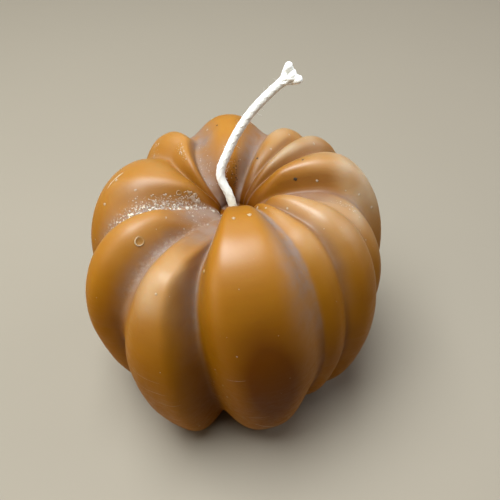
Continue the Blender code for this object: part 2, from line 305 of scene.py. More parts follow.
# The pale haze round the rib tops is partly a painted highlight.
HAZE_AND_HIGHLIGHT_EDGE_ALONG: Profile = ((1.1, 1.4), (1.0, 0.5))
POLISH_ALONG: Profile = ((0.0, 0.3, 0.7, 1.0, 1.35, 1.6, 1.8),
                         (0.0, 0.2, 0.8, 1.0, 0.9, 0.2, 0.0))


def smooth_share(value: np.ndarray) -> np.ndarray:
    """Ease a value from 0 to 1 with level ends, held at 0 below 0 and at 1 above 1."""
    share = np.clip(value, 0.0, 1.0)
    return share * share * (3 - 2 * share)


def toward(first: Direction, second: Direction, angle: float) -> Direction:
    """The direction that is an angle in radians from the first one towards the second."""
    return first * math.cos(angle) + second * math.sin(angle)


def noise_field(points: np.ndarray, grain: float, seed: float) -> np.ndarray:
    """Smooth noise at each point, about -1 to 1, in lumps as wide as the grain in metres."""
    shift = Vector((seed * 3.7, seed * 1.9, seed * 5.3))
    return np.array([noise.noise(Vector(point) / grain + shift) for point in points])


def piece_from(name: str, points: np.ndarray, faces: Sequence[Sequence[int]],
               finish: bpy.types.Material) -> bpy.types.Object:
    """Make a smooth-shaded piece and link it to the scene.

    Args:
        name: The piece's name.
        points: Its vertices in metres, one row each.
        faces: Its faces as rows of vertex numbers.
        finish: Its material.

    Returns:
        The new piece.
    """
    mesh = bpy.data.meshes.new(name)
    mesh.from_pydata(points.tolist(), [], [tuple(face) for face in faces])
    mesh.shade_smooth()
    mesh.materials.append(finish)
    piece = bpy.data.objects.new(name, mesh)
    bpy.context.scene.collection.objects.link(piece)
    return piece


class Bench:
    """A material's node tree, with a short method for each kind of node used here."""

    def __init__(self, name: str) -> None:
        """Start a material with its shader.

        Args:
            name: The material's name.
        """
        self.material = bpy.data.materials.new(name)
        self.material.use_nodes = True
        self.tree = self.material.node_tree
        self.shader = self.tree.nodes["Principled BSDF"]
        self.place = self.tree.nodes.new("ShaderNodeTexCoord").outputs["Object"]

    def join(self, source: object, socket: bpy.types.NodeSocket) -> None:
        """Feed a socket from another one, or set it to a plain value.

        Args:
            source: A node socket, a number or a colour.
            socket: The socket to feed.
        """
        if isinstance(source, bpy.types.NodeSocket):
            self.tree.links.new(source, socket)
        elif isinstance(source, tuple) and len(source) == 3 and socket.type == "RGBA":
            socket.default_value = (*source, 1.0)
        else:
            socket.default_value = source

    def set_up(self, values: dict[str, object]) -> None:
        """Feed the shader's inputs, each from a socket, a number or a colour."""
        for name, source in values.items():
            self.join(source, self.shader.inputs[name])

    def noise(self, grain: float, detail: float = 2.0, roughness: float = 0.5,
              finer: Triple = (1.0, 1.0, 1.0)) -> bpy.types.NodeSocket:
        """Noise with lumps of a given size.

        Args:
            grain: The lumps' size in metres.
            detail: How many finer layers it has.
            roughness: How strong the finer layers are.
            finer: How many times finer it is along x, y and z.

        Returns:
            The noise's value, 0 to 1.
        """
        stretched = self.tree.nodes.new("ShaderNodeMapping")
        self.join(self.place, stretched.inputs["Vector"])
        stretched.inputs["Scale"].default_value = finer
        node = self.tree.nodes.new("ShaderNodeTexNoise")
        self.join(stretched.outputs["Vector"], node.inputs["Vector"])
        node.inputs["Scale"].default_value = 1 / grain
        node.inputs["Detail"].default_value = detail
        node.inputs["Roughness"].default_value = roughness
        return node.outputs["Fac"]

    def painted(self, name: str) -> bpy.types.NodeSocket:
        """A value that the piece's mesh carries at each vertex.

        Args:
            name: The value's name in the mesh.

        Returns:
            The value.
        """
        node = self.tree.nodes.new("ShaderNodeAttribute")
        node.attribute_name = name
        return node.outputs["Fac"]

    def ranged(self, value: bpy.types.NodeSocket, low: float, high: float,
               start: float = 0.0, end: float = 1.0) -> bpy.types.NodeSocket:
        """Ease a value from one range into another.

        Args:
            value: The value to read.
            low: Where the result starts to change.
            high: Where it stops.
            start: The result at the low end.
            end: The result at the high end.

        Returns:
            The eased value.
        """
        node = self.tree.nodes.new("ShaderNodeMapRange")
        node.interpolation_type = "SMOOTHSTEP"
        self.join(value, node.inputs["Value"])
        for name, number in (("From Min", low), ("From Max", high), ("To Min", start),
                             ("To Max", end)):
            node.inputs[name].default_value = number
        return node.outputs["Result"]

    def maths(self, operation: str, first: object, second: object) -> bpy.types.NodeSocket:
        """One step of arithmetic, kept between 0 and 1.

        Args:
            operation: Blender's name for it, such as MULTIPLY.
            first: A socket or a number.
            second: A socket or a number.

        Returns:
            The result.
        """
        node = self.tree.nodes.new("ShaderNodeMath")
        node.operation = operation
        node.use_clamp = True
        self.join(first, node.inputs[0])
        self.join(second, node.inputs[1])
        return node.outputs["Value"]

    def blend(self, share: object, under: object, over: object) -> bpy.types.NodeSocket:
        """Lay one colour over another.

        Args:
            share: How much of the upper colour shows, 0 to 1.
            under: The lower colour, or a socket.
            over: The upper colour, or a socket.

        Returns:
            The mixed colour.
        """
        node = self.tree.nodes.new("ShaderNodeMix")
        node.data_type = "RGBA"
        factor = next(s for s in node.inputs if s.name == "Factor" and s.type == "VALUE")
        lower = next(s for s in node.inputs if s.name == "A" and s.type == "RGBA")
        upper = next(s for s in node.inputs if s.name == "B" and s.type == "RGBA")
        self.join(share, factor)
        self.join(under, lower)
        self.join(over, upper)
        return next(s for s in node.outputs if s.type == "RGBA")

    def relief(self, height: bpy.types.NodeSocket, depth: float,
               under: Optional[bpy.types.NodeSocket] = None) -> bpy.types.NodeSocket:
        """Fine relief that only the light shows.

        Args:
            height: The relief, 0 to 1.
            depth: How high 1 stands, in metres.
            under: A coarser relief that this one lies on.

        Returns:
            The bent normal.
        """
        node = self.tree.nodes.new("ShaderNodeBump")
        node.inputs["Distance"].default_value = depth
        self.join(height, node.inputs["Height"])
        if under is not None:
            self.join(under, node.inputs["Normal"])
        return node.outputs["Normal"]


@dataclass(frozen=True)
class BeeswaxFinish:
    """Raw beeswax: amber, a little see-through, satin, with haze, bloom, crust and dust.

    The haze is partly a painted highlight, the bloom partly a painted sheen, and the dark
    amber is painted shade.
    """

    amber: Colour = (0.320, 0.119, 0.0025)
    # Colour of the painted shade.
    dark: Colour = (0.110, 0.027, 0.0005)
    honey: Colour = (0.392, 0.155, 0.004)
    # Grey bloom, partly a painted sheen.
    bloom_and_sheen: Colour = (0.24, 0.155, 0.115)
    # Pale haze, partly a painted highlight.
    haze_and_highlight: Colour = (0.47, 0.33, 0.20)
    crust: Colour = (0.72, 0.62, 0.50)
    grit: Colour = (0.030, 0.018, 0.010)
    roughness: float = 0.43
    bend: float = 1.12
    see_through: float = 0.20
    reach: float = 2.5 * MM
    reach_by_colour: Triple = (1.0, 0.42, 0.12)
    skin: float = 0.9
    skin_roughness: float = 0.47
    skin_bend: float = 1.7
    mark_paleness: float = 0.55
    film_roughness: float = 0.16
    fine_relief: float = 0.05 * MM
    crumb_relief: float = 0.18 * MM
    drag_marks: Triple = (90.0, 90.0, 900.0)

    def make(self) -> bpy.types.Material:
        """Build the material.

        Returns:
            The finished material.
        """
        bench = Bench("beeswax")
        cloud = bench.noise(11 * MM, 3.0)
        fine = bench.noise(1.6 * MM, 4.0, 0.6)
        painted_shade = bench.painted("painted_shade")
        bloom_and_sheen = bench.painted("bloom_and_sheen")
        crust = bench.painted("crust")
        pale = bench.painted("pale")
        colour = bench.blend(bench.ranged(cloud, 0.35, 0.75, 0.0, 0.35), self.amber, self.honey)
        # Painted shade: the amber darkens in the crater, low down, in the valleys and grooves and
        # on the flanks.
        colour = bench.blend(bench.maths("MULTIPLY", painted_shade, 0.9), colour, self.dark)
        # The pale haze on the rib tops, partly a painted highlight.
        colour = bench.blend(bench.painted("haze_and_highlight"), colour, self.haze_and_highlight)
        # The grey bloom in patches in the valleys, partly a painted sheen.
        patches = bench.ranged(bench.noise(2.6 * MM, 3.0, 0.6), 0.30, 0.62, 0.60, 1.0)
        bloom_and_sheen_cover = bench.maths("MULTIPLY", bloom_and_sheen, patches)
        colour = bench.blend(bloom_and_sheen_cover, colour, self.bloom_and_sheen)
        crumbs = bench.maths("MULTIPLY", crust,
                             bench.ranged(bench.noise(0.55 * MM, 2.0, 0.6), 0.50, 0.62))
        colour = bench.blend(crumbs, colour, self.crust)
        colour = bench.blend(bench.maths("MULTIPLY", pale, self.mark_paleness), colour, self.crust)
        colour = bench.blend(bench.painted("grit"), colour, self.grit)
        rough = bench.ranged(fine, 0.3, 0.7, self.roughness - 0.05, self.roughness + 0.06)
        relief = bench.relief(bench.noise(1.0, 2.0, 0.5, self.drag_marks), self.fine_relief)
        relief = bench.relief(fine, self.fine_relief, relief)
        bench.set_up({
            "Base Color": colour,
            "Roughness": bench.maths("ADD", rough,
                                     bench.maths("MULTIPLY", bloom_and_sheen_cover, self.film_roughness)),
            "IOR": self.bend,
            "Coat Weight": bench.maths("MULTIPLY", bench.painted("polish"), self.skin),
            "Coat Roughness": self.skin_roughness,
            "Coat IOR": self.skin_bend,
            "Subsurface Weight": self.see_through,
            "Subsurface Radius": self.reach_by_colour,
            "Subsurface Scale": self.reach,
            "Normal": bench.relief(crumbs, self.crumb_relief, relief)})
        return bench.material


@dataclass(frozen=True)
class CottonFinish:
    """Bleached cotton yarn, waxed yellow at its foot."""

    cotton: Colour = (0.93, 0.91, 0.86)
    shadow: Colour = (0.70, 0.62, 0.48)
    waxed: Colour = (0.74, 0.58, 0.30)
    roughness: float = 0.85
    fluff: float = 0.35
    fluff_roughness: float = 0.5
    fibre_relief: float = 0.05 * MM

    def make(self) -> bpy.types.Material:
        """Build the material.

        Returns:
            The finished material.
        """
        bench = Bench("cotton")
        fibres = bench.noise(0.12 * MM, 3.0, 0.6)
        colour = bench.blend(bench.ranged(fibres, 0.35, 0.65, 0.14, 0.0), self.cotton, self.shadow)
        colour = bench.blend(bench.painted("waxed"), colour, self.waxed)
        bench.set_up({"Base Color": colour, "Roughness": self.roughness,
                      "Sheen Weight": self.fluff, "Sheen Roughness": self.fluff_roughness,
                      "Normal": bench.relief(fibres, self.fibre_relief)})
        return bench.material


@dataclass(frozen=True)
class FloorFinish:
    """A plain pale table top, with faint paler clouds."""

    colour: Colour = (0.28, 0.235, 0.18)
    paler: float = 1.04
    roughness: float = 0.75

    def make(self) -> bpy.types.Material:
        """Build the material.

        Returns:
            The finished material.
        """
        bench = Bench("floor")
        grain = bench.noise(60 * MM, 2.0)
        paler = tuple(value * self.paler for value in self.colour)
        bench.set_up({"Base Color": bench.blend(grain, self.colour, paler),
                      "Roughness": self.roughness})
        return bench.material


@dataclass
class WaxCasting:
    """The beeswax body, with its ribs, crater, flat base and moulding marks."""

    radius: float = 33.0 * MM
    height: float = 55.3 * MM
    waist: float = 29.5 * MM
    rim: float = 17.5 * MM
    base: float = 22.8 * MM
    crater_depth: float = 10.0 * MM
    crater_shift: tuple[float, float] = (-0.3 * MM, 1.6 * MM)
    shoulder_power: float = 2.15
    belly_power: float = 1.7
    valley_base_cut: float = 5.5 * MM
    head_length: float = 8.0 * MM
    square_end: float = 2.0
    square_fade: float = 0.7
    hole: float = 0.97 * MM
    meniscus: float = 0.6 * MM
    meniscus_reach: float = 0.16
    floor_rings: tuple[float, ...] = (0.0, 0.06, 0.14, 0.25, 0.4, 0.6, 0.8)
    hollow_head: float = 8.0
    crust_across: tuple[float, float] = (0.72, 0.2)
    # Reach of the painted groove shade on a rib's near side.
    near_groove: float = 0.3
    # Place and spread of a painted dark patch low on the front rib: painted shade and a dark
    # reflection.
    shade_spot_place: tuple[float, float] = (0.05, 1.96)
    shade_spot_spread: tuple[float, float] = (0.42, 0.32)
    # Reach of the haze, partly a painted highlight, inward and outward of its place.
    haze_and_highlight_spread: tuple[float, float] = (0.42, 0.27)
    grains: Triple = (13 * MM, 4.5 * MM, 1.3 * MM)
    relief: Triple = (0.16 * MM, 0.05 * MM, 0.10 * MM)
    foot_row: float = 2.92
    steps_round: int = 430
    crater_rows: int = 30
    shoulder_rows: int = 74
    belly_rows: int = 74
    base_rows: int = 6
    seed: int = 11
    rib: np.ndarray = field(init=False)
    near: np.ndarray = field(init=False)
    across: np.ndarray = field(init=False)

    def __post_init__(self) -> None:
        """Share the steps among the ribs by their width, from valley to valley.

        Each step knows its rib, and the rib that its nearest valley belongs to.
        """
        ribs: list[int] = []
        across: list[float] = []
        for index, rib in enumerate(RIBS):
            before = RIBS[index - 1].valley.waist - (360 if index == 0 else 0)
            halves = ((rib.crest.waist - before, -1), (rib.valley.waist - rib.crest.waist, 1))
            for width, sign in halves:
                count = max(round(width / 360 * self.steps_round), 4)
                for i in range(count):
                    ribs.append(index)
                    across.append(i / count - 1 if sign < 0 else i / count)
        self.rib = np.array(ribs)
        self.across = np.array(across)
        self.near = np.where(self.across < 0, self.rib - 1, self.rib) % len(RIBS)

    def rows(self) -> tuple[np.ndarray, np.ndarray]:
        """The rows of vertices from the crater's floor down to the foot.

        Returns:
            Each row's place along the outline, 0 to 1 in the crater, 1 to 2 on the
            shoulder and 2 to 3 on the belly, and its share of a quarter turn in radians.
        """
        along = np.concatenate([np.arange(self.crater_rows) / self.crater_rows,
                                1 + np.arange(self.shoulder_rows) / self.shoulder_rows,
                                2 + np.arange(self.belly_rows + 1) / self.belly_rows])
        turn = (along - np.minimum(np.floor(along), 2)) * math.pi / 2
        return along, turn

    def outline(self, floor: np.ndarray, wall: np.ndarray, rim: np.ndarray,
                radius: np.ndarray, height: np.ndarray, base: np.ndarray,
                depth: np.ndarray) -> tuple[np.ndarray, np.ndarray]:
        """The outline at each step, for a crest or a valley.

        Args:
            floor: The radius of the crater's floor at each step.
            wall: How square the outline turns down into the crater at each step.
            rim: The radius of the highest ring at each step.
            radius: The widest radius at each step.
            height: The height of the rim at each step.
            base: The foot's radius at each step.
            depth: The crater's depth at each step.

        Returns:
            Radius and height, by step and row.
        """
        along, turn = self.rows()
        sine, cosine = np.sin(turn).clip(0), np.cos(turn).clip(0)
        floor, rim, radius = floor[:, None], rim[:, None], radius[:, None]
        height, base, depth = height[:, None], base[:, None], depth[:, None]
        wall = 2 / wall[:, None]
        crater = (rim + (floor - rim) * cosine ** wall,
                  height + depth * (sine ** wall - 1))
        power = 2 / self.shoulder_power
        shoulder = (rim + (radius - rim) * sine ** power,
                    self.waist + (height - self.waist) * cosine ** power)
        power = 2 / self.belly_power
        belly = (base + (radius - base) * cosine ** power,
                 self.waist * (1 - sine ** power) + 0 * height)
        out = np.where(along < 1, crater[0], np.where(along < 2, shoulder[0], belly[0]))
        up = np.where(along < 1, crater[1], np.where(along < 2, shoulder[1], belly[1]))
        return out, up

    def gather(self, name: str, index: np.ndarray) -> np.ndarray:
        """The size that Rib calls by this name, for the rib at each step."""
        return np.array([getattr(rib, name) for rib in RIBS])[index]

    def column(self, name: str, index: np.ndarray) -> np.ndarray:
        """The same as gather, as a column to set against the rows."""
        return self.gather(name, index)[:, None]

    def line_angles(self, name: str, index: np.ndarray) -> np.ndarray:
        """The angle of a crest or valley at each step and row, in degrees.

        Args:
            name: Either crest or valley.
            index: The rib at each step.

        Returns:
            Angles by step and row.
        """
        along, turn = self.rows()
        lines = np.array([tuple(getattr(rib, name)) for rib in RIBS])[index]
        crater, waist, foot, hook = (lines[:, i:i + 1] for i in range(4))
        return np.where(along < 1, crater + hook * np.cos(turn), np.where(along < 2,
                        waist + (crater - waist) * np.cos(turn),
                        waist + (foot - waist) * np.sin(turn)))

    def surface(self) -> tuple[np.ndarray, np.ndarray]:
        """The ribbed skin, before its moulding marks.

        Returns:
            Points by step and row, and how far each rib has swollen there, 0 to 1.
        """
        along, _ = self.rows()
        before = self.across < 0
        near = self.near
        far = np.where(before, self.rib, self.rib - 1) % len(RIBS)
        share = np.abs(self.across)
        mix = (1 - share) / 2
        cut, drop = (MM * (self.gather(name, near) * (1 - mix) + self.gather(name, far) * mix)
                     for name in ("cut", "drop"))
        beside = np.where(before, near, self.rib + 1) % len(RIBS)
        beyond = np.where(before, self.rib + 1, self.rib - 1) % len(RIBS)
        floor, wall = (self.gather(name, self.rib) for name in ("floor", "wall"))
        valley_floor, valley_wall = (
            (own + self.gather(name, beside) * (1 - mix) + self.gather(name, beyond) * mix) / 2
            for own, name in ((floor, "floor"), (wall, "wall")))
        bulge, rise = (MM * self.gather(name, self.rib) for name in ("bulge", "rise"))
        plain = np.ones_like(share)
        crest_out, crest_up = self.outline(
            MM * floor, wall, MM * self.gather("rim", self.rib), self.radius + bulge,
            self.height + rise, self.base + bulge, self.crater_depth + rise)
        valley_out, valley_up = self.outline(
            MM * valley_floor, valley_wall, self.rim * plain, self.radius - cut,
            self.height - drop, (self.base - self.valley_base_cut) * plain,
            self.crater_depth - drop)
        rounding = self.gather("rounding", near)
        gap = np.hypot(1 - share, rounding) - rounding
        square = np.where(before, self.gather("near_square", self.rib),
                          self.gather("far_square", self.rib))[:, None]
        full = self.column("fullness", self.rib) * (
            1 + (square - 1) * smooth_share((self.square_end - along) / self.square_fade))
        weight = (1 - gap / (np.hypot(1, rounding) - rounding))[:, None] ** full
        head = MM * self.column("head", self.rib)
        swell = np.where(along < 2, smooth_share((crest_out - head) / self.head_length), 1.0)
        weight = 1 - (1 - weight) * swell
        crest = self.line_angles("crest", self.rib)
        valley = self.line_angles("valley", near)
        valley = valley - np.where((self.rib == 0) & before, 360, 0)[:, None]
        angle = np.radians(crest + (valley - crest) * share[:, None])
        out = crest_out + (valley_out - crest_out) * weight
        up = crest_up + (valley_up - crest_up) * weight
        fade = smooth_share((up - self.waist) / (self.height - self.waist))
        fade = np.where(along < 1, 1.0, fade)
        points = np.stack([out * np.cos(angle) + self.crater_shift[0] * fade,
                           out * np.sin(angle) + self.crater_shift[1] * fade, up], axis=-1)
        return points, swell

    def normals(self, points: np.ndarray) -> np.ndarray:
        """Outward directions on the skin.

        Args:
            points: The skin by step and row.

        Returns:
            Unit vectors by step and row.
        """
        round_way = np.roll(points, -1, axis=0) - np.roll(points, 1, axis=0)
        down_way = np.gradient(points, axis=1)
        out = np.cross(down_way, round_way)
        return out / np.maximum(np.linalg.norm(out, axis=-1, keepdims=True), 1e-12)

    def dressed(self) -> tuple[np.ndarray, dict[str, np.ndarray]]:
        """The skin with its lumps and marks, and the values its finish reads.

        Returns:
            Points by step and row, and each painted value by step and row.
        """
        points, swell = self.surface()
        lumps, ripples, crumbs = (
            noise_field(points.reshape(-1, 3), grain, self.seed + i).reshape(points.shape[:2])
            for i, grain in enumerate(self.grains))
        painted = self.paint(swell, lumps, ripples)
        along, _ = self.rows()
        coarse, fine, crumbly = self.relief
        foot = smooth_share((self.foot_row - along) / 0.1)
        relief = foot * (coarse * lumps + fine * ripples)
        relief = relief + foot * painted["crust"] * crumbly * np.maximum(crumbs, 0)
        points = points + self.normals(points) * relief[..., None]
        points[..., 2] = np.maximum(points[..., 2], 0)
        return points, painted

    def paint(self, swell: np.ndarray, lumps: np.ndarray,
              ripples: np.ndarray) -> dict[str, np.ndarray]:
        """The values that the finish reads.

        Args:
            swell: How far each rib has swollen, by step and row.
            lumps: Coarse noise, by step and row.
            ripples: Finer noise, by step and row.

        Returns:
            Each value by step and row.
        """
        along, _ = self.rows()
        share = np.abs(self.across)[:, None]
        # The grey bloom's reach on each side of the valley; the bloom is partly a painted sheen.
        width = np.where(self.across < 0, self.gather("bloom_and_sheen_beyond", self.near),
                         self.gather("bloom_and_sheen_width", self.near))[:, None]
        hollow = (1 - swell) * (self.column("head", self.rib) > self.hollow_head)
        reach = np.maximum(smooth_share((share - 1 + width) / width), hollow)
        bloom_and_sheen = np.clip(self.column("bloom_and_sheen", self.near) * reach
                        * np.interp(along, *BLOOM_AND_SHEEN_ALONG) * (1 + 0.5 * ripples), 0, 1)
        start, fade = self.crust_across
        crust = self.column("crust", self.near) * smooth_share((share - start) / fade) \
            * np.interp(along, *CRUST_ALONG)
        # Painted shade in the valleys.
        valley = self.column("shade", self.near) * reach * np.interp(along, *SHADE_ALONG)
        # Painted shade on the near flanks, which also clears the haze there.
        flank = self.flank("flank", FLANK_ACROSS, FLANK_ALONG)
        polish = np.interp(along, *POLISH_ALONG) * self.column("polish", self.rib) \
            * (1 - 0.85 * np.maximum(bloom_and_sheen, valley))
        return {"bloom_and_sheen": bloom_and_sheen, "crust": np.clip(crust, 0, 1),
                "painted_shade": self.darkness(valley, flank, lumps),
                "haze_and_highlight": np.clip(self.haze_and_highlight(ripples) * (1 - flank), 0, 1), "polish": polish,
                "pale": 0 * bloom_and_sheen, "grit": 0 * bloom_and_sheen}

    def flank(self, name: str, across: Profile, along: Profile) -> np.ndarray:
        """Painted shade on one side of each rib, as strong as Rib's value of that name."""
        return self.column(name, self.rib) * np.interp(self.across, *across)[:, None] \
            * np.interp(self.rows()[0], *along)

    def darkness(self, valley: np.ndarray, flank: np.ndarray,
                 lumps: np.ndarray) -> np.ndarray:
        """Painted shade in the crater, low down, in the grooves and on the flanks.

        Args:
            valley: The shade in the valleys, by step and row.
            flank: The painted shade on the near flanks, by step and row.
            lumps: Coarse noise, by step and row.

        Returns:
            The depth of the amber, by step and row.
        """
        along, _ = self.rows()
        share = np.abs(self.across)[:, None]
        # Painted shade on the belly, strongest on the crest.
        tan = self.column("tan", self.rib) * (1 - 0.5 * share)
        middle, low = self.shade_spot_place
        broad, tall = self.shade_spot_spread
        # A painted dark patch low on the front rib: painted shade and a dark reflection.
        core = (self.rib == Place.FRONT.value)[:, None] * np.exp(
            -((self.across[:, None] - middle) / broad) ** 2 - ((along - low) / tall) ** 2)
        # Painted shade in the grooves low down.
        wide = np.where(self.across < 0, self.near_groove, self.gather("groove", self.near))
        wide = wide[:, None]
        groove = smooth_share((share - 1 + wide) / wide) * np.interp(along, *GROOVE_ALONG)
        body = np.maximum(np.interp(along, *CRATER_DARK_ALONG),
                          np.interp(along, *BELLY_DARK_ALONG) * tan)
        painted_shade = np.clip(np.maximum(body * (0.9 + 0.4 * lumps) + core,
                                  np.maximum(valley, groove)), 0, 1)
        far_flank = self.flank("far_flank", FAR_FLANK_ACROSS, FAR_FLANK_ALONG)
        return np.maximum(painted_shade, np.maximum(flank, far_flank) * (0.8 + 0.4 * lumps))

    def haze_and_highlight(self, ripples: np.ndarray) -> np.ndarray:
        """The pale haze round the top of each rib, partly a painted highlight.

        Args:
            ripples: Fine noise, by step and row.

        Returns:
            The haze and painted highlight, by step and row.
        """
        along, _ = self.rows()
        middle = self.column("haze_and_highlight_at", self.rib)
        edge = np.abs(self.across)[:, None] ** 2 * np.interp(along, *HAZE_AND_HIGHLIGHT_EDGE_ALONG)
        inward, outward = self.haze_and_highlight_spread
        band = np.exp(-((along - middle) / np.where(along < middle, inward, outward)) ** 2)
        return self.column("haze_and_highlight", self.rib) * (1 - edge) * band * (0.75 + 0.5 * ripples)

    def ring(self, edge: np.ndarray, share: float) -> np.ndarray:
        """A ring at height 0 between the wick's hole and an edge.

        Args:
            edge: The points of the edge.
            share: How far out the ring lies, from 0 at the hole to 1 at the edge.

        Returns:
            The ring's points.
        """
        centre = np.array([*self.crater_shift, 0.0])
        around = edge - centre
        around[:, 2] = 0
        reach = np.linalg.norm(around, axis=1, keepdims=True)
        return centre + around / reach * (self.hole + (reach - self.hole) * share)

    def crater_rings(self, inner: np.ndarray) -> list[np.ndarray]:
        """Rings from the wick out to the crater's floor, with the wax drawn up the wick.

        Args:
            inner: The skin's first row, at the edge of the crater's floor.

        Returns:
            The rings from the hole's mouth outward.
        """
        level = float(inner[:, 2].mean())
        rings = []
        for share in self.floor_rings:
            ring = self.ring(inner, share)
            ring[:, 2] = level + (inner[:, 2] - level) * share \
                + self.meniscus * math.exp(-share / self.meniscus_reach)
            rings.append(ring)
        return rings

    def base_rings(self, outer: np.ndarray) -> list[np.ndarray]:
        """Rings of the flat base, from the skin's last row in to the hole."""
        return [self.ring(outer, 1 - i / self.base_rows) for i in range(1, self.base_rows + 1)]

    def build(self, finish: bpy.types.Material) -> bpy.types.Object:
        """Make the casting.

        Args:
            finish: The beeswax material.

        Returns:
            The piece that stands for the wax body.
        """
        skin, painted = self.dressed()
        top = np.stack(self.crater_rings(skin[:, 0].copy()), axis=1)
        under = np.stack(self.base_rings(skin[:, -1].copy()), axis=1)
        points = np.concatenate([top, skin, under], axis=1)
        steps, rows = points.shape[:2]
        number = np.arange(steps * rows).reshape(steps, rows)
        after = np.roll(number, -1, axis=0)
        down, down_after = np.roll(number, -1, axis=1), np.roll(after, -1, axis=1)
        faces = np.stack([number, down, down_after, after], axis=-1).reshape(-1, 4)
        marks = SurfaceMarks(self, skin, painted, steps * rows)
        marks.lay_all()
        piece = piece_from("wax_casting", np.concatenate([points.reshape(-1, 3), marks.points]),
                           faces.tolist() + marks.faces, finish)
        for name, values in painted.items():
            first = np.repeat(values[:, :1], top.shape[1], axis=1)
            last = np.repeat(values[:, -1:], under.shape[1], axis=1)
            whole = np.concatenate([first, values, last], axis=1).reshape(-1)
            layer = piece.data.attributes.new(name, "FLOAT", "POINT")
            layer.data.foreach_set("value", np.concatenate(
                [whole, marks.painted[name]]).astype(np.float32))
        return piece


# The rings of each kind of mark: how far out, how high and how pale or dark each one is.
PROFILES: dict[MarkKind, tuple[tuple[float, float, float], ...]] = {
    MarkKind.RING: ((0.0, 0.02, 0.0), (0.68, 0.02, 0.0), (0.78, 0.12, 0.5), (0.88, 0.17, 1.0),
                    (0.98, 0.10, 0.5), (1.10, -0.08, 0.0)),
    MarkKind.BEAD: ((0.0, 0.42, 0.5), (0.55, 0.32, 0.4), (0.85, 0.12, 0.3), (1.05, -0.12, 0.2)),
    MarkKind.FLECK: ((0.0, 0.22, 1.0), (0.65, 0.14, 0.9), (1.05, -0.10, 0.5)),
    MarkKind.GRIT: ((0.0, 0.20, 1.0), (0.65, 0.12, 1.0), (1.05, -0.10, 0.8)),
}


